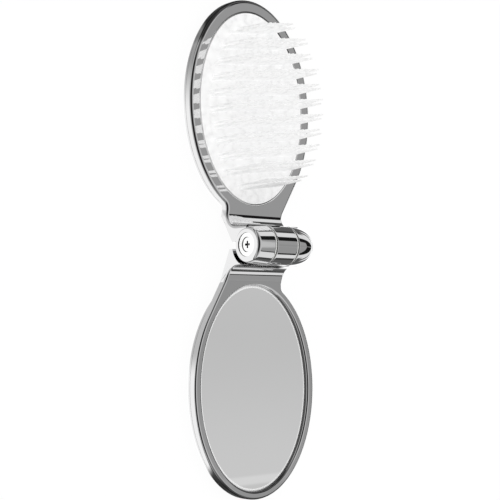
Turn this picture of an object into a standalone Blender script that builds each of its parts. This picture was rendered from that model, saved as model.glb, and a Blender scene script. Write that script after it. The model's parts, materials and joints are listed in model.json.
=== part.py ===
"""Folding pocket hairbrush with a mirror, opened flat.

Two oval leaves lie on their backs and share a three-knuckle hinge that stands above their faces.
X runs along the hinge, +Y along the brush leaf, -Y along the mirror leaf, and +Z out of both faces.
The origin is on the table, below the middle of the hinge. Lengths are in metres.
"""

import math

import bmesh
import bpy
from mathutils import Matrix, Vector

# Leaves
LEAF_HALF_WIDTH = 0.0270
LEAF_HALF_LENGTH = 0.0374
LEAF_START = 0.0102             # from the hinge axis to the near end of each oval
FRAME_THICKNESS = 0.0025
EDGE_RADIUS = 0.0009            # round the outside of each frame's face
OPENING_EDGE_RADIUS = 0.0006
NECK_HALF_WIDTH = 0.0129
WAIST_HALF_WIDTH = 0.0124       # where the cornered side of each neck is narrowest
WAIST_REACH = 0.0023            # from the oval's near end to the waist
TIGHT_FILLET = 0.0020           # where the cornered side meets the oval
SWEEP_REACH = 0.0135            # from the oval's near end to where the swept side joins it
SWEEP_FILLET = 0.0060           # where the swept side leaves the neck
BRUSH_RIM_SIDE = 0.0041
BRUSH_RIM_END = 0.00435
MIRROR_RIM_SIDE = 0.0030
MIRROR_RIM_END = 0.0027

# Back covers
COVER_HEIGHT = 0.0017
COVER_FLOOR = 0.0008
COVER_WALL = 0.0012
COVER_EDGE_RADIUS = 0.0013
SEAM_GAP = 0.0003               # between a cover and its frame

# Clearances
FIT_GAP = 0.0003                # between fixed neighbours, side to side
LAYER_GAP = 0.00015             # between stacked layers and washers
RUNNING_GAP = 0.00015           # round the hinge screw
CRADLE_GAP = 0.00035            # between a knuckle and the other leaf's cradle

# Mirror
TUB_WALL = 0.0010
TUB_FLOOR = 0.0005
ADHESIVE_THICKNESS = 0.0004
ADHESIVE_INSET = 0.0030
GLASS_THICKNESS = 0.00105
GLASS_BEVEL = 0.0003            # how far the bevel drops
GLASS_BEVEL_WIDTH = 0.0008

# Brush pad and pins
PAD_FLANGE_THICKNESS = 0.0008
PAD_FLANGE_WIDTH = 0.0014
PAD_SLICE_THICKNESS = 0.0009    # from the dome's edge down to the cushion
PAD_DOME = 0.0008
PIN_LENGTH = 0.0153
PIN_ROOT_RADIUS = 0.0005
PIN_TIP_RADIUS = 0.00028
PIN_SUNK = 0.0004
PIN_COLUMN_PITCH = 0.0020
PIN_ROW_PITCH = 0.0014          # between the two rows of a pair
PIN_PAIR_PITCH = 0.00532        # from one pair of rows to the next
PIN_ROW_START = -0.0008         # from the pad's middle to the first row of the middle pair
PIN_ROW_RISE_SHARE = 0.13       # how far the rows climb across the pad
PIN_TIP_DRAW_SHARE = 0.03       # how far the tips draw in towards the pad's middle
PIN_INSET_SIDE = 0.0032         # from the pad's edge to the outermost pins
PIN_INSET_END = 0.0042
PIN_FIELD_SHIFT = -0.0006       # from the pad's middle to the middle of the pins

# Hinge
AXIS_RISE = 0.0100              # from the leaves' faces up to the hinge axis
BARREL_LEFT = -0.0130
BARREL_RIGHT = 0.0123
BARREL_RADIUS = 0.0067
BARREL_TAPER = 0.0006           # how much thinner the barrel is at its left end
LEFT_END_ROUND = 0.0008
RIGHT_END_ROUND = 0.0022
LEFT_JOINT = 0.0052             # from the middle of the hinge to each line between knuckles
RIGHT_JOINT = 0.0046
SHOULDER_FILLET = 0.0025        # where the face turns up into the knuckles
END_RELIEF_RADIUS = 0.0105      # where the shoulder makes way for the barrel's rounded end
NECK_BACK_REACH = 0.0035        # how far beyond the barrel the neck's back starts
FRAME_START_REACH = 0.0013      # how far beyond the barrel the flat frame starts
CRADLE_TIP_REACH = 0.0011       # how far past the axis a cradle stops
CRADLE_TIP_THICKNESS = 0.0014
WEB_FOOT_REACH = 0.0006         # how far past the axis a knuckle's web meets the barrel
FRICTION_WASHER_THICKNESS = 0.0004
FRICTION_WASHER_INSET = 0.0003

# Hinge hardware
SCREW_RADIUS = 0.00125
SCREW_HEAD_RADIUS = 0.0025
SCREW_HEAD_HEIGHT = 0.0014
SCREW_HEAD_EDGE = 0.0004
SCREW_RECESS_HALF_LENGTH = 0.0015
SCREW_RECESS_HALF_WIDTH = 0.0004
SCREW_RECESS_DEPTH = 0.0009
SCREW_TIP_LENGTH = 0.0004
HEAD_POCKET_GAP = 0.0004
BUSHING_RADIUS = 0.00395
BUSHING_THICKNESS = 0.0011
BUSHING_RECESS = 0.0003         # how far below the barrel's end the bushing sits
BUSHING_HOLE_GAP = 0.00025
FLAT_WASHER_THICKNESS = 0.0004
WAVE_WASHER_THICKNESS = 0.0003
WAVE_WASHER_RISE = 0.00022
SLEEVE_WALL = 0.0006
INSERT_LENGTH = 0.0040
INSERT_POCKET_SPARE = 0.0009    # depth left beyond the threaded insert

# Fineness of round shapes
LEAF_STEPS = 72
BARREL_STEPS = 48
SMALL_STEPS = 24
FILLET_STEPS = 5
EDGE_STEPS = 3
END_ROUND_STEPS = 3
BARREL_LENGTH_STEPS = 6
DOME_STEPS = 5
PIN_SIDES = 4
WAVE_COUNT = 3
CUT_OVERRUN = 0.0020            # how far a cutter runs past what it cuts

# Places worked out from the sizes above
LEAF_CENTRE = LEAF_START + LEAF_HALF_LENGTH
FRAME_BACK = COVER_HEIGHT + SEAM_GAP
FACE = FRAME_BACK + FRAME_THICKNESS
AXIS_HEIGHT = FACE + AXIS_RISE
HINGE_AXIS = Vector((0, 0, AXIS_HEIGHT))
JOINT_HALF_GAP = FRICTION_WASHER_THICKNESS / 2 + LAYER_GAP
CENTRE_LOW = -LEFT_JOINT + JOINT_HALF_GAP
CENTRE_HIGH = RIGHT_JOINT - JOINT_HALF_GAP
LEFT_INNER = -LEFT_JOINT - JOINT_HALF_GAP
RIGHT_INNER = RIGHT_JOINT + JOINT_HALF_GAP
SCREW_HOLE_RADIUS = SCREW_RADIUS + RUNNING_GAP
TUB_HALF_WIDTH = LEAF_HALF_WIDTH - COVER_WALL - FIT_GAP
TUB_HALF_LENGTH = LEAF_HALF_LENGTH - COVER_WALL - FIT_GAP
TUB_BOTTOM = COVER_FLOOR + LAYER_GAP
GLASS_HALF_WIDTH = LEAF_HALF_WIDTH - MIRROR_RIM_SIDE - FIT_GAP
GLASS_HALF_LENGTH = LEAF_HALF_LENGTH - MIRROR_RIM_END - FIT_GAP
PAD_HALF_WIDTH = LEAF_HALF_WIDTH - BRUSH_RIM_SIDE - FIT_GAP
PAD_HALF_LENGTH = LEAF_HALF_LENGTH - BRUSH_RIM_END - FIT_GAP
PAD_SLICE_BOTTOM = FACE - PAD_SLICE_THICKNESS
FRAME_START = BARREL_RADIUS + FRAME_START_REACH
NECK_ROOT = BARREL_RADIUS + NECK_BACK_REACH
WAIST = LEAF_START + WAIST_REACH
HEAD_SEAT = BARREL_LEFT + 2 * BUSHING_RECESS + SCREW_HEAD_HEIGHT
WAVE_DEPTH = WAVE_WASHER_THICKNESS + WAVE_WASHER_RISE
FLAT_WASHER_LOW = HEAD_SEAT + 2 * LAYER_GAP + WAVE_DEPTH
MERGE_DISTANCE = FIT_GAP / 1000
ANGLE_PRECISION = 1e-9
SHARP_ANGLE = math.radians(30)

BRUSH_SIDE = 1
MIRROR_SIDE = -1
# Local x, y, z of a sideways shape lie along Y, Z, X
SIDEWAYS = Matrix(((0, 0, 1, 0), (1, 0, 0, 0), (0, 1, 0, 0), (0, 0, 0, 1)))

CHROME = {"color": (0.62, 0.62, 0.63, 1), "metallic": 1.0, "roughness": 0.08}
SILVER = {"color": (0.85, 0.86, 0.87, 1), "metallic": 1.0, "roughness": 0.03}
STEEL = {"color": (0.55, 0.55, 0.56, 1), "metallic": 1.0, "roughness": 0.3}
BRASS = {"color": (0.71, 0.56, 0.29, 1), "metallic": 1.0, "roughness": 0.35}
WHITE_PLASTIC = {"color": (0.92, 0.92, 0.92, 1), "metallic": 0.0, "roughness": 0.45}
CUSHION_RUBBER = {"color": (0.85, 0.85, 0.84, 1), "metallic": 0.0, "roughness": 0.7}
NYLON = {"color": (0.90, 0.90, 0.88, 1), "metallic": 0.0, "roughness": 0.5}
FOAM = {"color": (0.75, 0.75, 0.73, 1), "metallic": 0.0, "roughness": 0.9}


def clear_scene():
    for old in list(bpy.data.objects):
        bpy.data.objects.remove(old, do_unlink=True)


def new_collection(name):
    collection = bpy.data.collections.new(name)
    bpy.context.scene.collection.children.link(collection)
    return collection


def mesh_object(name, mesh, collection):
    obj = bpy.data.objects.new(name, mesh)
    collection.objects.link(obj)
    return obj


def applied(obj, matrix=None):
    """Return a new welded mesh of an object as it evaluates, moved by a matrix, and drop the object."""
    graph = bpy.context.evaluated_depsgraph_get()
    mesh = bpy.data.meshes.new_from_object(obj.evaluated_get(graph))
    mesh.transform((matrix or Matrix.Identity(4)) @ obj.matrix_world)
    bpy.data.objects.remove(obj, do_unlink=True)
    shape = bmesh.new()
    shape.from_mesh(mesh)
    bmesh.ops.remove_doubles(shape, verts=shape.verts, dist=MERGE_DISTANCE)
    bmesh.ops.recalc_face_normals(shape, faces=shape.faces)
    shape.to_mesh(mesh)
    shape.free()
    return mesh


def plate(name, outline, low, high, sideways=False):
    """Extrude a flat outline from low to high, along Z or along X when it is sideways."""
    curve = bpy.data.curves.new(name, "CURVE")
    curve.dimensions = "2D"
    curve.fill_mode = "BOTH"
    curve.extrude = (high - low) / 2
    spline = curve.splines.new("POLY")
    spline.points.add(len(outline) - 1)
    for point, (u, v) in zip(spline.points, outline):
        point.co = (u, v, 0, 1)
    spline.use_cyclic_u = True
    obj = mesh_object(name, curve, WORK)
    obj.location.z = (low + high) / 2
    bpy.context.view_layer.update()
    return mesh_object(name, applied(obj, SIDEWAYS if sideways else None), WORK)


def turned(name, profile, steps, sideways=True):
    """Turn a profile of radius and place, from its high end down the outer side, about X or Z."""
    mesh = bpy.data.meshes.new(name)
    closed = profile[0][0] > 0
    count = len(profile)
    edges = [(i, (i + 1) % count) for i in range(count if closed else count - 1)]
    mesh.from_pydata([(radius, 0, place) for radius, place in profile], edges, [])
    obj = mesh_object(name, mesh, WORK)
    screw = obj.modifiers.new("turn", "SCREW")
    screw.axis = "Z"
    screw.steps = steps
    screw.render_steps = steps
    screw.use_merge_vertices = True
    screw.merge_threshold = MERGE_DISTANCE
    bpy.context.view_layer.update()
    turned_mesh = applied(obj, SIDEWAYS if sideways else None)
    if sideways:
        turned_mesh.transform(Matrix.Translation(HINGE_AXIS))
    return mesh_object(name, turned_mesh, WORK)


def combined(body, tool, operation):
    """Join or cut a body with a tool shape and return the body."""
    boolean = body.modifiers.new("combine", "BOOLEAN")
    boolean.operation = operation
    boolean.solver = "MANIFOLD"
    boolean.object = tool
    bpy.context.view_layer.update()
    name = body.name
    result = mesh_object(name, applied(body), WORK)
    bpy.data.objects.remove(tool, do_unlink=True)
    result.name = name
    return result


def stacked(name, levels, sideways=False):
    """A closed solid through outlines of equal count, each at its place along Z, or along X."""
    shape = bmesh.new()
    rings = [[shape.verts.new((u, v, place)) for u, v in outline] for outline, place in levels]
    for lower, upper in zip(rings, rings[1:]):
        for i in range(len(lower)):
            j = (i + 1) % len(lower)
            shape.faces.new((lower[i], lower[j], upper[j], upper[i]))
    shape.faces.new(list(reversed(rings[0])))
    shape.faces.new(rings[-1])
    bmesh.ops.recalc_face_normals(shape, faces=shape.faces)
    mesh = bpy.data.meshes.new(name)
    shape.to_mesh(mesh)
    shape.free()
    if sideways:
        mesh.transform(SIDEWAYS)
    return mesh_object(name, mesh, WORK)


def quarter_round(radius):
    """How far a rounded edge steps in and up, from its upright side to its flat side."""
    steps = []
    for i in range(EDGE_STEPS + 1):
        angle = math.pi / 2 * i / EDGE_STEPS
        steps.append((radius * (1 - math.cos(angle)), radius * math.sin(angle)))
    return steps


def inset_outline(outline, inset):
    """A leaf outline moved inwards, its two ends kept on the line where it starts."""
    last = len(outline) - 1
    moved = []
    for i, (x, y) in enumerate(outline):
        before = Vector(outline[max(i - 1, 0)])
        after = Vector(outline[min(i + 1, last)])
        along = (after - before).normalized()
        if i in (0, last):
            moved.append((x - math.copysign(inset, x), y))
        else:
            moved.append((x - along.y * inset, y + along.x * inset))
    return moved


def ellipse(half_width, half_length, side, steps=LEAF_STEPS):
    turn = 2 * math.pi / steps
    return [(half_width * math.sin(turn * i), side * LEAF_CENTRE - half_length * math.cos(turn * i))
            for i in range(steps)]


def outside_ellipse(angle, distance):
    """A point at a distance outside the leaf's oval, where the angle is 0 at the hinge's end."""
    point = Vector((LEAF_HALF_WIDTH * math.sin(angle), -LEAF_HALF_LENGTH * math.cos(angle)))
    outward = Vector((point.x / LEAF_HALF_WIDTH ** 2, point.y / LEAF_HALF_LENGTH ** 2)).normalized()
    return point + outward * distance


def fillet_angle(fillet):
    """The place on the oval where a fillet beside the neck's waist touches it."""
    low = 0.0
    high = math.pi / 2
    while high - low > ANGLE_PRECISION:
        middle = (low + high) / 2
        if outside_ellipse(middle, fillet).x < WAIST_HALF_WIDTH + fillet:
            low = middle
        else:
            high = middle
    return low


def arc(centre, radius, first, last):
    points = []
    for i in range(FILLET_STEPS + 1):
        angle = first + (last - first) * i / FILLET_STEPS
        points.append((centre.x + radius * math.cos(angle), centre.y + radius * math.sin(angle)))
    return points


def oval_side(touch):
    """Half of a leaf's oval, from just beyond a place on it to just before its far end."""
    steps = LEAF_STEPS // 2
    points = []
    for i in range(1, steps):
        point = outside_ellipse(touch + (math.pi - touch) * i / steps, 0)
        points.append((point.x, LEAF_CENTRE + point.y))
    return points


def cornered_side():
    """The side of a leaf that narrows to a waist and meets the oval in a corner."""
    touch = fillet_angle(TIGHT_FILLET)
    middle = outside_ellipse(touch, TIGHT_FILLET)
    contact = outside_ellipse(touch, 0)
    centre = Vector((middle.x, LEAF_CENTRE + middle.y))
    last = math.atan2(contact.y - middle.y, contact.x - middle.x)
    neck = [(NECK_HALF_WIDTH, FRAME_START), (NECK_HALF_WIDTH, NECK_ROOT), (WAIST_HALF_WIDTH, WAIST)]
    return neck + arc(centre, TIGHT_FILLET, math.pi, last) + oval_side(touch)


def swept_side():
    """The side of a leaf that runs straight from a small fillet at the neck into the oval."""
    touch = math.acos(1 - SWEEP_REACH / LEAF_HALF_LENGTH)
    contact = Vector((LEAF_HALF_WIDTH * math.sin(touch), LEAF_START + SWEEP_REACH))
    slope = LEAF_HALF_WIDTH * math.cos(touch) / (LEAF_HALF_LENGTH * math.sin(touch))
    turn = math.atan(slope)
    corner = contact.y - (contact.x - NECK_HALF_WIDTH) / slope
    centre = Vector((NECK_HALF_WIDTH + SWEEP_FILLET, corner - SWEEP_FILLET * math.tan(turn / 2)))
    bend = arc(centre, SWEEP_FILLET, math.pi, math.pi - turn)
    return [(NECK_HALF_WIDTH, FRAME_START)] + bend + [tuple(contact)] + oval_side(touch)


def leaf_outline(side):
    """The oval with its neck, swept out on one side and cornered on the other."""
    tip = (0, LEAF_CENTRE + LEAF_HALF_LENGTH)
    points = swept_side() + [tip] + [(-x, y) for x, y in reversed(cornered_side())]
    return [(side * x, side * y) for x, y in points]


def neck_underside():
    """The slanted underside of the neck, from its flat back to the tip of the cradle."""
    return [(NECK_ROOT, -AXIS_RISE - FRAME_THICKNESS),
            (CRADLE_TIP_REACH, -BARREL_RADIUS - CRADLE_GAP - CRADLE_TIP_THICKNESS)]


def neck_profile(side, inset):
    """The neck seen along the hinge, its face and shoulder moved inwards by an inset."""
    face = -AXIS_RISE
    centre = Vector((BARREL_RADIUS + SHOULDER_FILLET, face + SHOULDER_FILLET))
    shoulder = arc(centre, SHOULDER_FILLET + inset, math.pi, math.pi * 3 / 2)
    points = [(BARREL_RADIUS - inset, 0)] + shoulder
    points += [(NECK_ROOT, face - inset)] + neck_underside()
    points.append((CRADLE_TIP_REACH, CRADLE_TIP_REACH - BARREL_RADIUS))
    return [(side * y, AXIS_HEIGHT + z) for y, z in points]


def neck_block(name, side):
    """The neck from side to side of the leaf, with its face's and shoulder's side edges rounded."""
    outer = [(neck_profile(side, EDGE_RADIUS - rise), NECK_HALF_WIDTH - step)
             for step, rise in quarter_round(EDGE_RADIUS)]
    left = [(outline, -reach) for outline, reach in outer]
    return stacked(name, left + list(reversed(outer)), sideways=True)


def web_back_cut(side):
    """What is taken off behind a knuckle's own web, leaving a slanted back."""
    back = -AXIS_RISE - FRAME_THICKNESS
    points = [(WEB_FOOT_REACH, -BARREL_RADIUS), (NECK_ROOT, back),
              (WEB_FOOT_REACH - CUT_OVERRUN, back - CUT_OVERRUN)]
    return [(side * y, AXIS_HEIGHT + z) for y, z in points]


def barrel_radius_at(place):
    """The barrel is widest in its middle and thins towards its ends."""
    return BARREL_RADIUS - BARREL_TAPER * (place / BARREL_LEFT) ** 4


def end_round(end, inward, radius):
    """The quarter round at one end of the barrel, from its side to its end face."""
    side = barrel_radius_at(end + inward * radius)
    points = []
    for i in range(1, END_ROUND_STEPS + 1):
        angle = math.pi / 2 * i / END_ROUND_STEPS
        points.append((side - radius * (1 - math.cos(angle)),
                       end + inward * radius * (1 - math.sin(angle))))
    return points


def barrel_profile(low, high, inner):
    """A knuckle's outside between two places, from high to low, then its inside profile."""
    first = high
    last = low
    high_round = []
    low_round = []
    if high == BARREL_RIGHT:
        first = high - RIGHT_END_ROUND
        high_round = end_round(high, -1, RIGHT_END_ROUND)
    if low == BARREL_LEFT:
        last = low + LEFT_END_ROUND
        low_round = end_round(low, 1, LEFT_END_ROUND)
    side = []
    for i in range(BARREL_LENGTH_STEPS + 1):
        place = first + (last - first) * i / BARREL_LENGTH_STEPS
        side.append((barrel_radius_at(place), place))
    return list(reversed(high_round)) + side + low_round + inner


def leaf_plate(name, side, rim_side, rim_end):
    """The flat front frame of a leaf, with its oval opening and rounded edges."""
    outline = leaf_outline(side)
    levels = [(outline, FRAME_BACK)]
    for step, rise in quarter_round(EDGE_RADIUS):
        levels.append((inset_outline(outline, step), FACE - EDGE_RADIUS + rise))
    body = stacked(name, levels)
    half_width = LEAF_HALF_WIDTH - rim_side
    half_length = LEAF_HALF_LENGTH - rim_end
    levels = [(ellipse(half_width, half_length, side), FRAME_BACK - CUT_OVERRUN)]
    for step, rise in quarter_round(OPENING_EDGE_RADIUS):
        levels.append((ellipse(half_width + step, half_length + step, side),
                       FACE - OPENING_EDGE_RADIUS + rise))
    levels.append((levels[-1][0], FACE + CUT_OVERRUN))
    return combined(body, stacked("opening_cut", levels), "DIFFERENCE")


def leaf_body(name, side, rims, own_ranges, other_ranges):
    """A leaf's frame and neck, with cradles for the other leaf's knuckles and webs for its own."""
    body = leaf_plate(name, side, *rims)
    back, tip = neck_underside()
    below = back[1] - CUT_OVERRUN
    under = [(side * y, AXIS_HEIGHT + z) for y, z in (back, tip, (tip[0], below), (back[0], below))]
    cutter = plate("underside_cut", under, -LEAF_HALF_WIDTH, LEAF_HALF_WIDTH, sideways=True)
    body = combined(body, cutter, "DIFFERENCE")
    body = combined(body, neck_block("neck", side), "UNION")
    for low, high in other_ranges:
        cradle = BARREL_RADIUS + CRADLE_GAP
        cutter = turned("cradle_cut", [(0, high), (cradle, high), (cradle, low), (0, low)], LEAF_STEPS)
        body = combined(body, cutter, "DIFFERENCE")
    for low, high in own_ranges:
        cutter = plate("web_cut", web_back_cut(side), low, high, sideways=True)
        body = combined(body, cutter, "DIFFERENCE")
    return body


def brush_frame():
    body = leaf_body("brush_frame", BRUSH_SIDE, (BRUSH_RIM_SIDE, BRUSH_RIM_END),
                     [(-LEAF_HALF_WIDTH, LEFT_INNER), (RIGHT_INNER, LEAF_HALF_WIDTH)],
                     [(LEFT_INNER, RIGHT_INNER)])
    relief_low = BARREL_RIGHT - RIGHT_END_ROUND
    relief_high = NECK_HALF_WIDTH + CUT_OVERRUN
    relief = turned("end_relief", [(0, relief_high), (END_RELIEF_RADIUS, relief_high),
                                   (BARREL_RADIUS, relief_low), (0, relief_low)], LEAF_STEPS)
    body = combined(body, relief, "DIFFERENCE")
    end = BARREL_LEFT
    pocket_floor = end + BUSHING_RECESS + BUSHING_THICKNESS + LAYER_GAP
    head_floor = FLAT_WASHER_LOW + FLAT_WASHER_THICKNESS + LAYER_GAP
    bushing_pocket = BUSHING_RADIUS + LAYER_GAP
    head_pocket = SCREW_HEAD_RADIUS + HEAD_POCKET_GAP
    left = turned("left_knuckle", barrel_profile(end, LEFT_INNER, [
        (bushing_pocket, end), (bushing_pocket, pocket_floor), (head_pocket, pocket_floor),
        (head_pocket, head_floor), (SCREW_HOLE_RADIUS, head_floor),
        (SCREW_HOLE_RADIUS, LEFT_INNER)]), BARREL_STEPS)
    insert_pocket = SCREW_HOLE_RADIUS + SLEEVE_WALL + LAYER_GAP
    pocket_end = RIGHT_INNER + LAYER_GAP + INSERT_LENGTH + INSERT_POCKET_SPARE
    right_profile = barrel_profile(RIGHT_INNER, BARREL_RIGHT, [
        (insert_pocket, RIGHT_INNER), (insert_pocket, pocket_end), (0, pocket_end)])
    right = turned("right_knuckle", [(0, BARREL_RIGHT)] + right_profile, BARREL_STEPS)
    body = combined(body, left, "UNION")
    return combined(body, right, "UNION")


def mirror_frame():
    body = leaf_body("mirror_frame", MIRROR_SIDE, (MIRROR_RIM_SIDE, MIRROR_RIM_END),
                     [(CENTRE_LOW, CENTRE_HIGH)],
                     [(-LEAF_HALF_WIDTH, CENTRE_LOW), (CENTRE_HIGH, LEAF_HALF_WIDTH)])
    bore = SCREW_HOLE_RADIUS + SLEEVE_WALL + LAYER_GAP
    middle = turned("centre_knuckle", barrel_profile(CENTRE_LOW, CENTRE_HIGH, [
        (bore, CENTRE_LOW), (bore, CENTRE_HIGH)]), BARREL_STEPS)
    body = combined(body, middle, "UNION")
    tub_top = FRAME_BACK + FRAME_THICKNESS / 4
    tub = plate("tub", ellipse(TUB_HALF_WIDTH, TUB_HALF_LENGTH, MIRROR_SIDE), TUB_BOTTOM, tub_top)
    pocket = ellipse(TUB_HALF_WIDTH - TUB_WALL, TUB_HALF_LENGTH - TUB_WALL, MIRROR_SIDE)
    cutter = plate("tub_cut", pocket, TUB_BOTTOM + TUB_FLOOR, tub_top + CUT_OVERRUN)
    tub = combined(tub, cutter, "DIFFERENCE")
    return combined(body, tub, "UNION")


def back_cover(name, side):
    """A shallow oval dish that closes a leaf's back, with a soft outer edge."""
    levels = [(ellipse(LEAF_HALF_WIDTH, LEAF_HALF_LENGTH, side), COVER_HEIGHT)]
    for step, rise in quarter_round(COVER_EDGE_RADIUS):
        levels.append((ellipse(LEAF_HALF_WIDTH - step, LEAF_HALF_LENGTH - step, side),
                       COVER_EDGE_RADIUS - rise))
    body = stacked(name, levels)
    pocket = ellipse(LEAF_HALF_WIDTH - COVER_WALL, LEAF_HALF_LENGTH - COVER_WALL, side)
    cutter = plate("cover_cut", pocket, COVER_FLOOR, COVER_HEIGHT + CUT_OVERRUN)
    return combined(body, cutter, "DIFFERENCE")


def mirror_glass():
    bottom = TUB_BOTTOM + TUB_FLOOR + LAYER_GAP + ADHESIVE_THICKNESS + LAYER_GAP
    top = bottom + GLASS_THICKNESS
    outline = ellipse(GLASS_HALF_WIDTH, GLASS_HALF_LENGTH, MIRROR_SIDE)
    bevelled = ellipse(GLASS_HALF_WIDTH - GLASS_BEVEL_WIDTH, GLASS_HALF_LENGTH - GLASS_BEVEL_WIDTH,
                       MIRROR_SIDE)
    return stacked("mirror_glass", [(outline, bottom), (outline, top - GLASS_BEVEL), (bevelled, top)])


def mirror_adhesive():
    bottom = TUB_BOTTOM + TUB_FLOOR + LAYER_GAP
    outline = ellipse(GLASS_HALF_WIDTH - ADHESIVE_INSET, GLASS_HALF_LENGTH - ADHESIVE_INSET, MIRROR_SIDE)
    return plate("mirror_adhesive", outline, bottom, bottom + ADHESIVE_THICKNESS)


def pad_cushion():
    """The cushion under the pins, held by a flange between the frame and the cover."""
    bottom = TUB_BOTTOM
    flange_outline = ellipse(PAD_HALF_WIDTH + PAD_FLANGE_WIDTH, PAD_HALF_LENGTH + PAD_FLANGE_WIDTH,
                             BRUSH_SIDE)
    flange = plate("pad_cushion", flange_outline, bottom, bottom + PAD_FLANGE_THICKNESS)
    core_outline = ellipse(PAD_HALF_WIDTH, PAD_HALF_LENGTH, BRUSH_SIDE)
    core = plate("cushion_core", core_outline, bottom + PAD_FLANGE_THICKNESS / 2,
                 PAD_SLICE_BOTTOM - LAYER_GAP)
    return combined(flange, core, "UNION")


def dome_height(across, along):
    """Height of the pad's surface at a place given in shares of its half width and half length."""
    return FACE + PAD_DOME * (1 - across ** 2 - along ** 2)


def in_pin_field(across, along):
    half_width = PAD_HALF_WIDTH - PIN_INSET_SIDE
    half_length = PAD_HALF_LENGTH - PIN_INSET_END
    return (across / half_width) ** 2 + ((along - PIN_FIELD_SHIFT) / half_length) ** 2 <= 1


def pin_places():
    """Pairs of slanted, staggered rows of pins that stay inside the pad's edge."""
    pairs = int(PAD_HALF_LENGTH / PIN_PAIR_PITCH) + 1
    columns = int(PAD_HALF_WIDTH / PIN_COLUMN_PITCH)
    places = []
    for pair in range(-pairs, pairs + 1):
        for row in range(2):
            start = PIN_ROW_START + pair * PIN_PAIR_PITCH + row * PIN_ROW_PITCH
            for column in range(-columns, columns + 1):
                across = (column + row / 2) * PIN_COLUMN_PITCH
                along = start + across * PIN_ROW_RISE_SHARE
                if in_pin_field(across, along):
                    places.append((across, along))
    return places


def pin_stance(across, along):
    """Stand a pin of unit place on the dome, its tip drawn in towards the middle of the pad."""
    root = dome_height(across / PAD_HALF_WIDTH, along / PAD_HALF_LENGTH) - PIN_SUNK
    lean = -PIN_TIP_DRAW_SHARE / PIN_LENGTH
    return Matrix(((1, 0, lean * across, across), (0, 1, lean * along, along),
                   (0, 0, 1, root), (0, 0, 0, 1)))


def pin_plate():
    """The domed white plate and its tapered pins, moulded in one."""
    dome = [(i / DOME_STEPS, dome_height(i / DOME_STEPS, 0)) for i in range(DOME_STEPS + 1)]
    slab = turned("pin_plate", dome + [(1, PAD_SLICE_BOTTOM), (0, PAD_SLICE_BOTTOM)],
                  BARREL_STEPS, sideways=False)
    slab.data.transform(Matrix.Diagonal((PAD_HALF_WIDTH, PAD_HALF_LENGTH, 1, 1)))
    shape = bmesh.new()
    length = PIN_LENGTH + PIN_SUNK
    upright = Matrix.Translation((0, 0, length / 2))
    for across, along in pin_places():
        bmesh.ops.create_cone(shape, cap_ends=True, cap_tris=False, segments=PIN_SIDES,
                              radius1=PIN_ROOT_RADIUS, radius2=PIN_TIP_RADIUS, depth=length,
                              matrix=pin_stance(across, along) @ upright)
    mesh = bpy.data.meshes.new("pins")
    shape.to_mesh(mesh)
    shape.free()
    pins = mesh_object("pins", mesh, WORK)
    slab = combined(slab, pins, "UNION")
    slab.data.transform(Matrix.Translation((0, BRUSH_SIDE * LEAF_CENTRE, 0)))
    return slab


def ring(name, inner, outer, low, high, steps=SMALL_STEPS):
    return turned(name, [(outer, high), (outer, low), (inner, low), (inner, high)], steps)


def hinge_screw():
    """A cross-recess screw from the left end into the threaded insert in the right knuckle."""
    tip = RIGHT_INNER + LAYER_GAP + INSERT_LENGTH + SCREW_TIP_LENGTH
    top = HEAD_SEAT - SCREW_HEAD_HEIGHT
    chamfered = SCREW_RADIUS - SCREW_TIP_LENGTH
    profile = [(0, tip), (chamfered, tip), (SCREW_RADIUS, tip - SCREW_TIP_LENGTH),
               (SCREW_RADIUS, HEAD_SEAT), (SCREW_HEAD_RADIUS, HEAD_SEAT),
               (SCREW_HEAD_RADIUS, top + SCREW_HEAD_EDGE), (SCREW_HEAD_RADIUS - SCREW_HEAD_EDGE, top),
               (0, top)]
    screw = turned("hinge_screw", profile, SMALL_STEPS)
    long_half = SCREW_RECESS_HALF_LENGTH
    thin_half = SCREW_RECESS_HALF_WIDTH
    for half_y, half_z in ((long_half, thin_half), (thin_half, long_half)):
        corners = [(-half_y, -half_z), (half_y, -half_z), (half_y, half_z), (-half_y, half_z)]
        outline = [(y, AXIS_HEIGHT + z) for y, z in corners]
        cutter = plate("recess_cut", outline, top - CUT_OVERRUN, top + SCREW_RECESS_DEPTH, sideways=True)
        screw = combined(screw, cutter, "DIFFERENCE")
    return screw


def end_bushing():
    low = BARREL_LEFT + BUSHING_RECESS
    return ring("end_bushing", SCREW_HEAD_RADIUS + BUSHING_HOLE_GAP, BUSHING_RADIUS,
                low, low + BUSHING_THICKNESS, BARREL_STEPS)


def flat_washer():
    return ring("flat_washer", SCREW_HOLE_RADIUS, SCREW_HEAD_RADIUS,
                FLAT_WASHER_LOW, FLAT_WASHER_LOW + FLAT_WASHER_THICKNESS)


def wave_washer():
    """A spring washer whose ring rises and falls three times."""
    low = HEAD_SEAT + LAYER_GAP
    washer = ring("wave_washer", SCREW_HOLE_RADIUS, SCREW_HEAD_RADIUS, low, low + WAVE_WASHER_THICKNESS)
    for vertex in washer.data.vertices:
        angle = math.atan2(vertex.co.z - AXIS_HEIGHT, vertex.co.y)
        vertex.co.x += WAVE_WASHER_RISE / 2 * (1 + math.cos(WAVE_COUNT * angle))
    return washer


def hinge_sleeve():
    return ring("hinge_sleeve", SCREW_HOLE_RADIUS, SCREW_HOLE_RADIUS + SLEEVE_WALL,
                CENTRE_LOW + LAYER_GAP, CENTRE_HIGH - LAYER_GAP)


def threaded_insert():
    low = RIGHT_INNER + LAYER_GAP
    return ring("threaded_insert", SCREW_HOLE_RADIUS, SCREW_HOLE_RADIUS + SLEEVE_WALL,
                low, low + INSERT_LENGTH)


def friction_washer(name, place):
    half = FRICTION_WASHER_THICKNESS / 2
    outer = barrel_radius_at(place) - FRICTION_WASHER_INSET
    return ring(name, SCREW_HOLE_RADIUS, outer, place - half, place + half, BARREL_STEPS)


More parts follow.
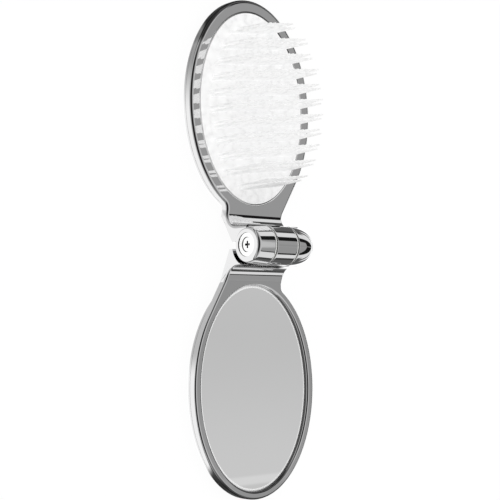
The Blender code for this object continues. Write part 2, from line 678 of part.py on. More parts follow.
def finish(obj, look, carrier=None):
    """Move a finished shape to the part's collection, give it its material and its carrier."""
    material = bpy.data.materials.new(obj.name)
    material.use_nodes = True
    shader = material.node_tree.nodes["Principled BSDF"]
    shader.inputs["Base Color"].default_value = look["color"]
    shader.inputs["Metallic"].default_value = look["metallic"]
    shader.inputs["Roughness"].default_value = look["roughness"]
    obj.data.materials.clear()
    obj.data.materials.append(material)
    obj.data.shade_smooth()
    obj.data.set_sharp_from_angle(angle=SHARP_ANGLE)
    WORK.objects.unlink(obj)
    PART.objects.link(obj)
    if carrier:
        obj.data.transform(Matrix.Translation(-carrier.location))
        obj.parent = carrier


def brush_axis():
    """The empty on the hinge axis that carries all that turns with the brush leaf."""
    empty = bpy.data.objects.new("brush_leaf_axis", None)
    empty.location = HINGE_AXIS
    PART.objects.link(empty)
    return empty


def build():
    carrier = brush_axis()
    finish(mirror_frame(), CHROME)
    finish(back_cover("mirror_back_cover", MIRROR_SIDE), CHROME)
    finish(mirror_adhesive(), FOAM)
    finish(mirror_glass(), SILVER)
    finish(hinge_sleeve(), STEEL)
    finish(brush_frame(), CHROME, carrier)
    finish(back_cover("brush_back_cover", BRUSH_SIDE), CHROME, carrier)
    finish(pad_cushion(), CUSHION_RUBBER, carrier)
    finish(pin_plate(), WHITE_PLASTIC, carrier)
    finish(hinge_screw(), CHROME, carrier)
    finish(end_bushing(), CHROME, carrier)
    finish(flat_washer(), STEEL, carrier)
    finish(wave_washer(), STEEL, carrier)
    finish(friction_washer("friction_washer_left", -LEFT_JOINT), NYLON, carrier)
    finish(friction_washer("friction_washer_right", RIGHT_JOINT), NYLON, carrier)
    finish(threaded_insert(), BRASS, carrier)
    print("pins:", len(pin_places()))


clear_scene()
PART = new_collection("folding_pocket_brush")
WORK = new_collection("cutters")
build()
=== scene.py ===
"""Folding pocket hairbrush with a mirror, dressed for a picture.

The frame gives the bodies and their sizes. X runs along the hinge, +Y along the brush leaf, -Y along
the mirror leaf, and +Z out of both faces. Lengths are in metres.
"""

import json
import math

import bmesh
import bpy
from mathutils import Matrix, Vector


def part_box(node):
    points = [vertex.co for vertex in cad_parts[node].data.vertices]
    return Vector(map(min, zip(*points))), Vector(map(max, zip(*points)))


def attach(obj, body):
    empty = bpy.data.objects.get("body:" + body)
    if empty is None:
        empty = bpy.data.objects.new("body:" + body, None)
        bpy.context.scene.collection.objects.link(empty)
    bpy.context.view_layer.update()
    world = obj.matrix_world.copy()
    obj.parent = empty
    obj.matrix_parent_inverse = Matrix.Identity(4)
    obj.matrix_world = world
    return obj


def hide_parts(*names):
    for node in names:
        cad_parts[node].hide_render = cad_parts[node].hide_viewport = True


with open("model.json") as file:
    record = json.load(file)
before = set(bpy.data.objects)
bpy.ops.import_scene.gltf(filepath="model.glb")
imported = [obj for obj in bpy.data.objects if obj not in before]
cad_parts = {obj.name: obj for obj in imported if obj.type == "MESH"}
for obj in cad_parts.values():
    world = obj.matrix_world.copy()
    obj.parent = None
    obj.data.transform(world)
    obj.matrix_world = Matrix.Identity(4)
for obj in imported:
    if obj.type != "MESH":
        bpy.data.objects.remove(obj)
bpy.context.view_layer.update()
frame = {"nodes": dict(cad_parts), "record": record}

# Sizes read from the frame
COVER_LOW, COVER_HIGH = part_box("brush_back_cover")
GLASS_LOW, GLASS_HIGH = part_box("mirror_glass")
PAD_LOW, PAD_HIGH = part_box("pin_plate")
BUSHING_LOW, BUSHING_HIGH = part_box("end_bushing")
SCREW_LOW, SCREW_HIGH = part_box("hinge_screw")
MIRROR_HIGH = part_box("mirror_frame")[1]
FLAT_WASHER_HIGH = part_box("flat_washer")[1]
SLEEVE_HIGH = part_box("hinge_sleeve")[1]
INSERT_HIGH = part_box("threaded_insert")[1]
LEFT_WASHER_LOW, LEFT_WASHER_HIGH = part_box("friction_washer_left")
RIGHT_WASHER_LOW, RIGHT_WASHER_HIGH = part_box("friction_washer_right")
HINGE_AXIS = Vector(frame["record"]["behaviour"]["joints"][0]["pos_m"])
AXIS_HEIGHT = HINGE_AXIS.z
LEAF_HALF_WIDTH = COVER_HIGH[0]
LEAF_HALF_LENGTH = (COVER_HIGH[1] - COVER_LOW[1]) / 2
LEAF_CENTRE = (COVER_HIGH[1] + COVER_LOW[1]) / 2
COVER_HEIGHT = COVER_HIGH[2]
BARREL_RADIUS = MIRROR_HIGH[2] - AXIS_HEIGHT
SCREW_HEAD_RADIUS = SCREW_HIGH[1]
BUSHING_RADIUS = BUSHING_HIGH[1]
SLEEVE_RADIUS = SLEEVE_HIGH[1]
LEFT_JOINT = -(LEFT_WASHER_LOW[0] + LEFT_WASHER_HIGH[0]) / 2
RIGHT_JOINT = (RIGHT_WASHER_LOW[0] + RIGHT_WASHER_HIGH[0]) / 2
WASHER_THICKNESS = RIGHT_WASHER_HIGH[0] - RIGHT_WASHER_LOW[0]
GLASS_HALF_WIDTH = GLASS_HIGH[0]
GLASS_HALF_LENGTH = (GLASS_HIGH[1] - GLASS_LOW[1]) / 2
PAD_HALF_WIDTH = PAD_HIGH[0]

# Leaves
AXIS_RISE = 0.0100
SEAM_GAP = 0.0003
VISIBLE_SEAM = 0.0001
VISIBLE_GAP = 0.00003
FIT_GAP = 0.0003
LAYER_GAP = 0.00015
BRUSH_EDGE_RADIUS = 0.0013
MIRROR_EDGE_RADIUS = 0.0009
BRUSH_OPENING_RADIUS = 0.0004
MIRROR_OPENING_RADIUS = 0.0009
NECK_HALF_WIDTH = 0.0129
WAIST_HALF_WIDTH = 0.0124
WAIST_REACH = 0.0023
TIGHT_FILLET = 0.0020
SWEEP_REACH = 0.0135
SWEEP_FILLET = 0.0060
BRUSH_RIM_SIDE = 0.0041
BRUSH_RIM_END = 0.00435
MIRROR_RIM_SIDE = 0.0030
MIRROR_RIM_END = 0.0027
COVER_FLOOR = 0.0008
COVER_WALL = 0.0012
COVER_EDGE_RADIUS = 0.0013
BRUSH_WIDENING = 0.0008
BRUSH_LENGTHENING = 0.0005
WIDENING_START = 0.0105
WIDENING_LENGTH = 0.0100
TUB_WALL = 0.0010
TUB_FLOOR = 0.0005
TUB_OVERLAP_SHARE = 0.25        # how far the tub's wall reaches up into the frame
GLASS_BEVEL_WIDTH = 0.0008
GLASS_BEVEL_DROP = 0.0003

# Pad and pins
PAD_DOME = 0.0008
PIN_LENGTH = 0.0153
PIN_ROOT_RADIUS = 0.0005
PIN_TIP_RADIUS = 0.00028
PIN_SUNK = 0.0004
PIN_COLUMN_PITCH = 0.0020
PIN_ROW_PITCH = 0.0014
PIN_PAIR_PITCH = 0.00532
PIN_ROW_START = -0.0008
PIN_ROW_RISE_SHARE = 0.13
PIN_TIP_DRAW_SHARE = 0.03
PIN_INSET_SIDE = 0.0032
PIN_INSET_END = 0.0030
PIN_FIELD_SHIFT = -0.0006

# Hinge
RUNNING_GAP = 0.00015
SCREW_RADIUS = 0.00125
SCREW_HEAD_HEIGHT = 0.0014
SCREW_HEAD_ROUND = 0.0003
RECESS_HALF_LENGTH = 0.0012
RECESS_HALF_WIDTH = 0.00036
RECESS_DEPTH = 0.0006
GROOVE_DEPTH = 0.00006
GROOVE_WIDTH = 0.00030
BUSHING_RECESS = 0.0003
BARREL_RIGHT = 0.0129
LEFT_TAPER = 0.0006             # how much thinner the left knuckle is at its far end
RIGHT_DOME = 0.0025             # how much thinner the right knuckle would be at its dome's far end
RIGHT_DOME_LENGTH = 0.0085
LEFT_END_ROUND = 0.0013
RIGHT_END_ROUND = 0.0003
RELIEF_REACH = 0.0022
JOINT_EDGE_ROUND = 0.00018
SHOULDER_FILLET = 0.0050
NECK_OVERLAP = 0.0003
NECK_BACK_REACH = 0.0035
FRAME_START_REACH = 0.0013
END_RELIEF_RADIUS = 0.0105
CRADLE_GAP = 0.00035
CRADLE_TIP_REACH = 0.0011
CRADLE_TIP_THICKNESS = 0.0014
WEB_FOOT_REACH = 0.0006
HEAD_POCKET_GAP = 0.0004
INSERT_POCKET_SPARE = 0.0009

# Fineness of round shapes
LEAF_STEPS = 240
BARREL_STEPS = 128
FILLET_STEPS = 12
EDGE_STEPS = 8
END_ROUND_STEPS = 8
JOINT_ROUND_STEPS = 3
BARREL_LENGTH_STEPS = 24
DOME_STEPS = 12
PIN_SIDES = 10
PIN_TIP_STEPS = 4
CUT_OVERRUN = 0.0020

# Places worked out from the sizes above
FACE = AXIS_HEIGHT - AXIS_RISE
FRAME_BACK = COVER_HEIGHT + SEAM_GAP
FRAME_THICKNESS = FACE - FRAME_BACK
BARREL_LEFT = BUSHING_LOW[0] - BUSHING_RECESS
JOINT_HALF_GAP = WASHER_THICKNESS / 2 + LAYER_GAP
CENTRE_LOW = -LEFT_JOINT + JOINT_HALF_GAP
CENTRE_HIGH = RIGHT_JOINT - JOINT_HALF_GAP
LEFT_INNER = -LEFT_JOINT - JOINT_HALF_GAP
RIGHT_INNER = RIGHT_JOINT + JOINT_HALF_GAP
TUB_BOTTOM = COVER_FLOOR + LAYER_GAP
PAD_HALF_LENGTH = (PAD_HIGH[1] - PAD_LOW[1]) / 2
FRAME_START = BARREL_RADIUS + FRAME_START_REACH
NECK_BACK = BARREL_RADIUS + NECK_BACK_REACH
NECK_ROOT = BARREL_RADIUS + SHOULDER_FILLET + NECK_OVERLAP
LEAF_START = LEAF_CENTRE - LEAF_HALF_LENGTH
WAIST = LEAF_START + WAIST_REACH
MERGE_DISTANCE = FIT_GAP / 1000
RECESS_REACH = RECESS_HALF_LENGTH + MERGE_DISTANCE
ANGLE_PRECISION = 1e-9
SHARP_ANGLE = math.radians(30)
SLANTED_FROM = 0.5              # upward part of a face's normal from which it counts as slanted
FLAT_FROM = 0.999

BRUSH_SIDE = 1
MIRROR_SIDE = -1
# Local x, y, z of a sideways shape lie along Y, Z, X
SIDEWAYS = Matrix(((0, 0, 1, 0), (1, 0, 0, 0), (0, 1, 0, 0), (0, 0, 0, 1)))

# The camera, fitted to the photograph's outlines, in its own pixels and metres
CAMERA_AZIMUTH = math.radians(43.01)
CAMERA_TILT = math.radians(-3.91)
CAMERA_ROLL = math.radians(-0.75)
CAMERA_DISTANCE = 0.4106
FOCAL_PIXELS = 1226.0
AXIS_PIXEL = (275.06, 245.81)
IMAGE_PIXELS = 500
SENSOR_WIDTH = 36
CLIP_START = 0.01


def link(obj):
    bpy.context.scene.collection.objects.link(obj)
    return obj


def lying(direction):
    """Turn a direction of the upright photograph into the lying frame."""
    return Vector((direction[0], direction[2], -direction[1]))


def add_camera():
    """Stand the camera where the fit put it, aimed so that the hinge falls on its pixel."""
    back = Vector((-math.sin(CAMERA_AZIMUTH) * math.cos(CAMERA_TILT),
                   -math.cos(CAMERA_AZIMUTH) * math.cos(CAMERA_TILT), math.sin(CAMERA_TILT)))
    right = Vector((math.cos(CAMERA_AZIMUTH), -math.sin(CAMERA_AZIMUTH), 0))
    up = right.cross(-back)
    rolled_right = math.cos(CAMERA_ROLL) * right + math.sin(CAMERA_ROLL) * up
    rolled_up = math.cos(CAMERA_ROLL) * up - math.sin(CAMERA_ROLL) * right
    back, rolled_right, rolled_up = lying(back), lying(rolled_right), lying(rolled_up)
    middle = IMAGE_PIXELS / 2
    aim = (-back * FOCAL_PIXELS + rolled_right * (middle - AXIS_PIXEL[0])
           - rolled_up * (middle - AXIS_PIXEL[1]))
    view_back = -aim.normalized()
    view_right = rolled_up.cross(view_back).normalized()
    view_up = view_back.cross(view_right)
    camera = link(bpy.data.objects.new("camera", bpy.data.cameras.new("camera")))
    camera.data.sensor_width = SENSOR_WIDTH
    camera.data.lens = FOCAL_PIXELS / IMAGE_PIXELS * SENSOR_WIDTH
    camera.data.clip_start = CLIP_START
    matrix = Matrix((view_right, view_up, view_back)).transposed().to_4x4()
    matrix.translation = HINGE_AXIS + back * CAMERA_DISTANCE
    camera.matrix_world = matrix
    bpy.context.scene.camera = camera


# Shapes


def applied(obj, matrix=None):
    """A new welded mesh of an object as it evaluates, moved by a matrix. The object is dropped."""
    graph = bpy.context.evaluated_depsgraph_get()
    mesh = bpy.data.meshes.new_from_object(obj.evaluated_get(graph))
    mesh.transform((matrix or Matrix.Identity(4)) @ obj.matrix_world)
    bpy.data.objects.remove(obj, do_unlink=True)
    shape = bmesh.new()
    shape.from_mesh(mesh)
    bmesh.ops.remove_doubles(shape, verts=shape.verts, dist=MERGE_DISTANCE)
    bmesh.ops.recalc_face_normals(shape, faces=shape.faces)
    shape.to_mesh(mesh)
    shape.free()
    return mesh


def plate(name, outline, low, high, sideways=False):
    """Extrude a flat outline from low to high, along Z or along X when it is sideways."""
    curve = bpy.data.curves.new(name, "CURVE")
    curve.dimensions = "2D"
    curve.fill_mode = "BOTH"
    curve.extrude = (high - low) / 2
    spline = curve.splines.new("POLY")
    spline.points.add(len(outline) - 1)
    for point, (u, v) in zip(spline.points, outline):
        point.co = (u, v, 0, 1)
    spline.use_cyclic_u = True
    obj = link(bpy.data.objects.new(name, curve))
    obj.location.z = (low + high) / 2
    bpy.context.view_layer.update()
    return link(bpy.data.objects.new(name, applied(obj, SIDEWAYS if sideways else None)))


def turned(name, profile, steps, sideways=True):
    """Turn a profile of radius and place, from its high end down the outer side, about X or Z."""
    mesh = bpy.data.meshes.new(name)
    closed = profile[0][0] > 0
    count = len(profile)
    edges = [(i, (i + 1) % count) for i in range(count if closed else count - 1)]
    mesh.from_pydata([(radius, 0, place) for radius, place in profile], edges, [])
    obj = link(bpy.data.objects.new(name, mesh))
    screw = obj.modifiers.new("turn", "SCREW")
    screw.axis = "Z"
    screw.steps = steps
    screw.render_steps = steps
    screw.use_merge_vertices = True
    screw.merge_threshold = MERGE_DISTANCE
    bpy.context.view_layer.update()
    turned_mesh = applied(obj, SIDEWAYS if sideways else None)
    if sideways:
        turned_mesh.transform(Matrix.Translation(HINGE_AXIS))
    return link(bpy.data.objects.new(name, turned_mesh))


def combined(body, tool, operation):
    """Join or cut a body with a tool shape and return the body."""
    boolean = body.modifiers.new("combine", "BOOLEAN")
    boolean.operation = operation
    boolean.solver = "MANIFOLD"
    boolean.object = tool
    bpy.context.view_layer.update()
    name = body.name
    result = link(bpy.data.objects.new(name, applied(body)))
    bpy.data.objects.remove(tool, do_unlink=True)
    result.name = name
    return result


def stacked(name, levels, sideways=False):
    """A closed solid through outlines of equal count, each at its place along Z, or along X."""
    shape = bmesh.new()
    rings = [[shape.verts.new((u, v, place)) for u, v in outline] for outline, place in levels]
    for lower, upper in zip(rings, rings[1:]):
        for i in range(len(lower)):
            j = (i + 1) % len(lower)
            shape.faces.new((lower[i], lower[j], upper[j], upper[i]))
    shape.faces.new(list(reversed(rings[0])))
    shape.faces.new(rings[-1])
    bmesh.ops.recalc_face_normals(shape, faces=shape.faces)
    mesh = bpy.data.meshes.new(name)
    shape.to_mesh(mesh)
    shape.free()
    if sideways:
        mesh.transform(SIDEWAYS)
    return link(bpy.data.objects.new(name, mesh))


def quarter_round(radius):
    """How far a rounded edge steps in and up, from its upright side to its flat side."""
    steps = []
    for i in range(EDGE_STEPS + 1):
        angle = math.pi / 2 * i / EDGE_STEPS
        steps.append((radius * (1 - math.cos(angle)), radius * math.sin(angle)))
    return steps


def inset_outline(outline, inset):
    """A leaf outline moved inwards, its two ends kept on the line where it starts."""
    last = len(outline) - 1
    moved = []
    for i, (x, y) in enumerate(outline):
        before = Vector(outline[max(i - 1, 0)])
        after = Vector(outline[min(i + 1, last)])
        along = (after - before).normalized()
        if i in (0, last):
            moved.append((x - math.copysign(inset, x), y))
        else:
            moved.append((x - along.y * inset, y + along.x * inset))
    return moved


def ellipse(half_width, half_length, side):
    """An oval about a leaf's middle, from its hinge's end round."""
    turn = 2 * math.pi / LEAF_STEPS
    return [(half_width * math.sin(turn * i), side * LEAF_CENTRE - half_length * math.cos(turn * i))
            for i in range(LEAF_STEPS)]


def outside_ellipse(angle, distance):
    """A point at a distance outside the leaf's oval, where the angle is 0 at the hinge's end."""
    point = Vector((LEAF_HALF_WIDTH * math.sin(angle), -LEAF_HALF_LENGTH * math.cos(angle)))
    outward = Vector((point.x / LEAF_HALF_WIDTH ** 2, point.y / LEAF_HALF_LENGTH ** 2)).normalized()
    return point + outward * distance


def fillet_angle(fillet):
    """The place on the oval where a fillet beside the neck's waist touches it."""
    low = 0.0
    high = math.pi / 2
    while high - low > ANGLE_PRECISION:
        middle = (low + high) / 2
        if outside_ellipse(middle, fillet).x < WAIST_HALF_WIDTH + fillet:
            low = middle
        else:
            high = middle
    return low


def arc(centre, radius, first, last):
    """Points on a round bend between two angles."""
    points = []
    for i in range(FILLET_STEPS + 1):
        angle = first + (last - first) * i / FILLET_STEPS
        points.append((centre.x + radius * math.cos(angle), centre.y + radius * math.sin(angle)))
    return points


def oval_side(touch):
    """Half of a leaf's oval, from just beyond a place on it to just before its far end."""
    steps = LEAF_STEPS // 2
    points = []
    for i in range(1, steps):
        point = outside_ellipse(touch + (math.pi - touch) * i / steps, 0)
        points.append((point.x, LEAF_CENTRE + point.y))
    return points


def cornered_side():
    """The side of a leaf that narrows to a waist and meets the oval in a corner."""
    touch = fillet_angle(TIGHT_FILLET)
    middle = outside_ellipse(touch, TIGHT_FILLET)
    contact = outside_ellipse(touch, 0)
    centre = Vector((middle.x, LEAF_CENTRE + middle.y))
    last = math.atan2(contact.y - middle.y, contact.x - middle.x)
    neck = [(NECK_HALF_WIDTH, FRAME_START), (NECK_HALF_WIDTH, NECK_BACK), (WAIST_HALF_WIDTH, WAIST)]
    return neck + arc(centre, TIGHT_FILLET, math.pi, last) + oval_side(touch)


def swept_side():
    """The side of a leaf that runs straight from a small fillet at the neck into the oval."""
    touch = math.acos(1 - SWEEP_REACH / LEAF_HALF_LENGTH)
    contact = Vector((LEAF_HALF_WIDTH * math.sin(touch), LEAF_START + SWEEP_REACH))
    slope = LEAF_HALF_WIDTH * math.cos(touch) / (LEAF_HALF_LENGTH * math.sin(touch))
    turn = math.atan(slope)
    corner = contact.y - (contact.x - NECK_HALF_WIDTH) / slope
    centre = Vector((NECK_HALF_WIDTH + SWEEP_FILLET, corner - SWEEP_FILLET * math.tan(turn / 2)))
    bend = arc(centre, SWEEP_FILLET, math.pi, math.pi - turn)
    return [(NECK_HALF_WIDTH, FRAME_START)] + bend + [tuple(contact)] + oval_side(touch)


def leaf_outline(side):
    """The oval with its neck, swept out on one side and cornered on the other."""
    tip = (0, LEAF_CENTRE + LEAF_HALF_LENGTH)
    points = swept_side() + [tip] + [(-x, y) for x, y in reversed(cornered_side())]
    return [(side * x, side * y) for x, y in points]


def neck_underside():
    """The slanted underside of the neck, from its flat back to the tip of the cradle."""
    return [(NECK_BACK, -AXIS_RISE - FRAME_THICKNESS),
            (CRADLE_TIP_REACH, -BARREL_RADIUS - CRADLE_GAP - CRADLE_TIP_THICKNESS)]


def neck_profile(side, inset):
    """The neck seen along the hinge, its face and shoulder moved inwards by an inset."""
    face = -AXIS_RISE
    centre = Vector((BARREL_RADIUS + SHOULDER_FILLET, face + SHOULDER_FILLET))
    shoulder = arc(centre, SHOULDER_FILLET + inset, math.pi, math.pi * 3 / 2)
    points = [(BARREL_RADIUS - inset, 0)] + shoulder
    points += [(NECK_ROOT, face - inset), (NECK_ROOT, face - FRAME_THICKNESS)] + neck_underside()
    points.append((CRADLE_TIP_REACH, CRADLE_TIP_REACH - BARREL_RADIUS))
    return [(side * y, AXIS_HEIGHT + z) for y, z in points]


def reach_at(half, along):
    """How far one side of a leaf's outline stands from its middle at a place along the leaf."""
    for (x, y), (next_x, next_y) in zip(half, half[1:]):
        if y <= along <= next_y:
            return x + (next_x - x) * (along - y) / (next_y - y)
    return half[0][0]


def neck_block(name, side, edge):
    """The neck from side to side of the leaf, with its face's and shoulder's side edges rounded."""
    outer = [(neck_profile(side, edge - rise), NECK_HALF_WIDTH - step)
             for step, rise in quarter_round(edge)]
    left = [(outline, -reach) for outline, reach in outer]
    block = stacked(name, left + list(reversed(outer)), sideways=True)
    swept, cornered = swept_side(), cornered_side()
    for vertex in block.data.vertices:
        half = swept if vertex.co.x * side > 0 else cornered
        vertex.co.x *= reach_at(half, vertex.co.y * side) / NECK_HALF_WIDTH
    return block


def web_back_cut(side):
    """What is taken off behind a knuckle's own web, leaving a slanted back."""
    back = -AXIS_RISE - FRAME_THICKNESS
    points = [(WEB_FOOT_REACH, -BARREL_RADIUS), (NECK_BACK, back),
              (WEB_FOOT_REACH - CUT_OVERRUN, back - CUT_OVERRUN)]
    return [(side * y, AXIS_HEIGHT + z) for y, z in points]


def barrel_radius_at(place):
    """The left knuckle thins evenly towards its end, and the right one is domed."""
    if place > RIGHT_JOINT:
        share = (place - RIGHT_JOINT) / RIGHT_DOME_LENGTH
        return BARREL_RADIUS - RIGHT_DOME * (1 - math.sqrt(1 - share ** 2))
    past = max(-LEFT_JOINT - place, 0)
    return BARREL_RADIUS - LEFT_TAPER * past / (-LEFT_JOINT - BARREL_LEFT)


def end_round(end, inward, radius, steps):
    """The quarter round at one end of a knuckle, from its side to its end face."""
    side = barrel_radius_at(end + inward * radius)
    points = []
    for i in range(1, steps + 1):
        angle = math.pi / 2 * i / steps
        points.append((side - radius * (1 - math.cos(angle)),
                       end + inward * radius * (1 - math.sin(angle))))
    return points


def barrel_profile(low, high, inner):
    """A knuckle's outside between two places, from high to low, then its inside profile."""
    high_radius = RIGHT_END_ROUND if high == BARREL_RIGHT else JOINT_EDGE_ROUND
    low_radius = LEFT_END_ROUND if low == BARREL_LEFT else JOINT_EDGE_ROUND
    high_steps = END_ROUND_STEPS if high == BARREL_RIGHT else JOINT_ROUND_STEPS
    low_steps = END_ROUND_STEPS if low == BARREL_LEFT else JOINT_ROUND_STEPS
    first = high - high_radius
    last = low + low_radius
    side = []
    for i in range(BARREL_LENGTH_STEPS + 1):
        place = first + (last - first) * i / BARREL_LENGTH_STEPS
        side.append((barrel_radius_at(place), place))
    return (list(reversed(end_round(high, -1, high_radius, high_steps))) + side
            + end_round(low, 1, low_radius, low_steps) + inner)


def leaf_plate(name, side, edge, rim_side, rim_end, opening_edge):
    """The flat front frame of a leaf, with its oval opening and rounded edges."""
    outline = leaf_outline(side)
    levels = [(outline, FRAME_BACK)]
    for step, rise in quarter_round(edge):
        levels.append((inset_outline(outline, step), FACE - edge + rise))
    body = stacked(name, levels)
    half_width = LEAF_HALF_WIDTH - rim_side
    half_length = LEAF_HALF_LENGTH - rim_end
    levels = [(ellipse(half_width, half_length, side), FRAME_BACK - CUT_OVERRUN)]
    for step, rise in quarter_round(opening_edge):
        levels.append((ellipse(half_width + step, half_length + step, side),
                       FACE - opening_edge + rise))
    levels.append((levels[-1][0], FACE + CUT_OVERRUN))
    return combined(body, stacked("opening_cut", levels), "DIFFERENCE")


def leaf_body(name, side, edge, rims, own_ranges, other_ranges):
    """A leaf's frame and neck, with cradles for the other leaf's knuckles and webs for its own."""
    body = leaf_plate(name, side, edge, *rims)
    back, tip = neck_underside()
    below = back[1] - CUT_OVERRUN
    under = [(side * y, AXIS_HEIGHT + z) for y, z in (back, tip, (tip[0], below), (back[0], below))]
    cutter = plate("underside_cut", under, -LEAF_HALF_WIDTH, LEAF_HALF_WIDTH, sideways=True)
    body = combined(body, cutter, "DIFFERENCE")
    body = combined(body, neck_block("neck", side, edge), "UNION")
    for low, high in other_ranges:
        cradle = BARREL_RADIUS + CRADLE_GAP
        cutter = turned("cradle_cut", [(0, high), (cradle, high), (cradle, low), (0, low)], LEAF_STEPS)
        body = combined(body, cutter, "DIFFERENCE")
    for low, high in own_ranges:
        cutter = plate("web_cut", web_back_cut(side), low, high, sideways=True)
        body = combined(body, cutter, "DIFFERENCE")
    return body


def widened(piece):
    """Widen the brush leaf to the left and lengthen it a little, from its neck onwards."""
    for vertex in piece.data.vertices:
        place = vertex.co
        share = min(max((place.y - WIDENING_START) / WIDENING_LENGTH, 0), 1)
        smooth_share = share ** 2 * (3 - 2 * share)
        place.x -= BRUSH_WIDENING / 2 * smooth_share * (1 - place.x / LEAF_HALF_WIDTH)
        place.y += BRUSH_LENGTHENING * max(place.y - WIDENING_START, 0) / (2 * LEAF_HALF_LENGTH)
    return piece


def brush_frame(name):
    body = leaf_body(name, BRUSH_SIDE, BRUSH_EDGE_RADIUS,
                     (BRUSH_RIM_SIDE, BRUSH_RIM_END, BRUSH_OPENING_RADIUS),
                     [(-LEAF_HALF_WIDTH, LEFT_INNER), (RIGHT_INNER, LEAF_HALF_WIDTH)],
                     [(LEFT_INNER, RIGHT_INNER)])
    relief_low = BARREL_RIGHT - RELIEF_REACH
    relief_high = NECK_HALF_WIDTH + CUT_OVERRUN
    relief = turned("end_relief", [(0, relief_high), (END_RELIEF_RADIUS, relief_high),
                                   (BARREL_RADIUS, relief_low), (0, relief_low)], LEAF_STEPS)
    body = combined(body, relief, "DIFFERENCE")
    end = BARREL_LEFT
    hole = SCREW_RADIUS + RUNNING_GAP
    pocket_floor = BUSHING_HIGH[0] + LAYER_GAP
    head_floor = FLAT_WASHER_HIGH[0] + LAYER_GAP
    bushing_pocket = BUSHING_RADIUS + VISIBLE_GAP
    head_pocket = SCREW_HEAD_RADIUS + HEAD_POCKET_GAP
    left = turned("left_knuckle", barrel_profile(end, LEFT_INNER, [
        (bushing_pocket, end), (bushing_pocket, pocket_floor), (head_pocket, pocket_floor),
        (head_pocket, head_floor), (hole, head_floor), (hole, LEFT_INNER)]), BARREL_STEPS)
    insert_pocket = SLEEVE_RADIUS + LAYER_GAP
    pocket_end = INSERT_HIGH[0] + INSERT_POCKET_SPARE
    right_profile = barrel_profile(RIGHT_INNER, BARREL_RIGHT, [
        (insert_pocket, RIGHT_INNER), (insert_pocket, pocket_end), (0, pocket_end)])
    right = turned("right_knuckle", [(0, BARREL_RIGHT)] + right_profile, BARREL_STEPS)
    body = combined(body, left, "UNION")
    return combined(body, right, "UNION")


def end_bushing(name):
    """The disc in the left knuckle's end, with a shallow ring groove round the screw head."""
    low = BUSHING_LOW[0]
    high = BUSHING_HIGH[0]
    outer = BUSHING_RADIUS
    inner = SCREW_HEAD_RADIUS + VISIBLE_GAP
    middle = (outer + inner) / 2
    half = GROOVE_WIDTH / 2
    return turned(name, [(outer, high), (outer, low + GROOVE_DEPTH), (outer - GROOVE_DEPTH, low),
                         (middle + half, low), (middle, low + GROOVE_DEPTH), (middle - half, low),
                         (inner, low), (inner, high)], BARREL_STEPS)


def hinge_screw(name):
    """The screw, its flat head softly rounded at the edge and cut by a cross recess."""
    top = SCREW_LOW[0]
    tip = SCREW_HIGH[0]
    seat = top + SCREW_HEAD_HEIGHT
    edge = SCREW_HEAD_ROUND
    profile = [(0, tip), (SCREW_RADIUS - edge, tip), (SCREW_RADIUS, tip - edge), (SCREW_RADIUS, seat),
               (SCREW_HEAD_RADIUS, seat)]
    for step, rise in quarter_round(edge):
        profile.append((SCREW_HEAD_RADIUS - step, top + edge - rise))
    screw = turned(name, profile + [(0, top)], BARREL_STEPS)
    halves = (RECESS_HALF_LENGTH, RECESS_HALF_WIDTH)
    for half_y, half_z in (halves, halves[::-1]):
        corners = [(-half_y, -half_z), (half_y, -half_z), (half_y, half_z), (-half_y, half_z)]
        outline = [(y, AXIS_HEIGHT + z) for y, z in corners]
        cutter = plate("recess_cut", outline, top - CUT_OVERRUN, top + RECESS_DEPTH, sideways=True)
        screw = combined(screw, cutter, "DIFFERENCE")
    return screw


def mirror_frame(name):
    body = leaf_body(name, MIRROR_SIDE, MIRROR_EDGE_RADIUS,
                     (MIRROR_RIM_SIDE, MIRROR_RIM_END, MIRROR_OPENING_RADIUS),
                     [(CENTRE_LOW, CENTRE_HIGH)],
                     [(-LEAF_HALF_WIDTH, CENTRE_LOW), (CENTRE_HIGH, LEAF_HALF_WIDTH)])
    bore = SLEEVE_RADIUS + LAYER_GAP
    middle = turned("centre_knuckle", barrel_profile(CENTRE_LOW, CENTRE_HIGH, [
        (bore, CENTRE_LOW), (bore, CENTRE_HIGH)]), BARREL_STEPS)
    body = combined(body, middle, "UNION")
    tub_half_width = LEAF_HALF_WIDTH - COVER_WALL - FIT_GAP
    tub_half_length = LEAF_HALF_LENGTH - COVER_WALL - FIT_GAP
    tub_top = FRAME_BACK + FRAME_THICKNESS * TUB_OVERLAP_SHARE
    tub = plate("tub", ellipse(tub_half_width, tub_half_length, MIRROR_SIDE), TUB_BOTTOM, tub_top)
    pocket = ellipse(tub_half_width - TUB_WALL, tub_half_length - TUB_WALL, MIRROR_SIDE)
    cutter = plate("tub_cut", pocket, TUB_BOTTOM + TUB_FLOOR, tub_top + CUT_OVERRUN)
    tub = combined(tub, cutter, "DIFFERENCE")
    return combined(body, tub, "UNION")


def back_cover(name, side):
    """A shallow oval dish that closes a leaf's back, with a soft outer edge."""
    top = FRAME_BACK - VISIBLE_SEAM
    levels = [(ellipse(LEAF_HALF_WIDTH, LEAF_HALF_LENGTH, side), top)]
    for step, rise in quarter_round(COVER_EDGE_RADIUS):
        levels.append((ellipse(LEAF_HALF_WIDTH - step, LEAF_HALF_LENGTH - step, side),
                       COVER_EDGE_RADIUS - rise))
    body = stacked(name, levels)
    pocket = ellipse(LEAF_HALF_WIDTH - COVER_WALL, LEAF_HALF_LENGTH - COVER_WALL, side)
    cutter = plate("cover_cut", pocket, COVER_FLOOR, top + CUT_OVERRUN)
    return combined(body, cutter, "DIFFERENCE")


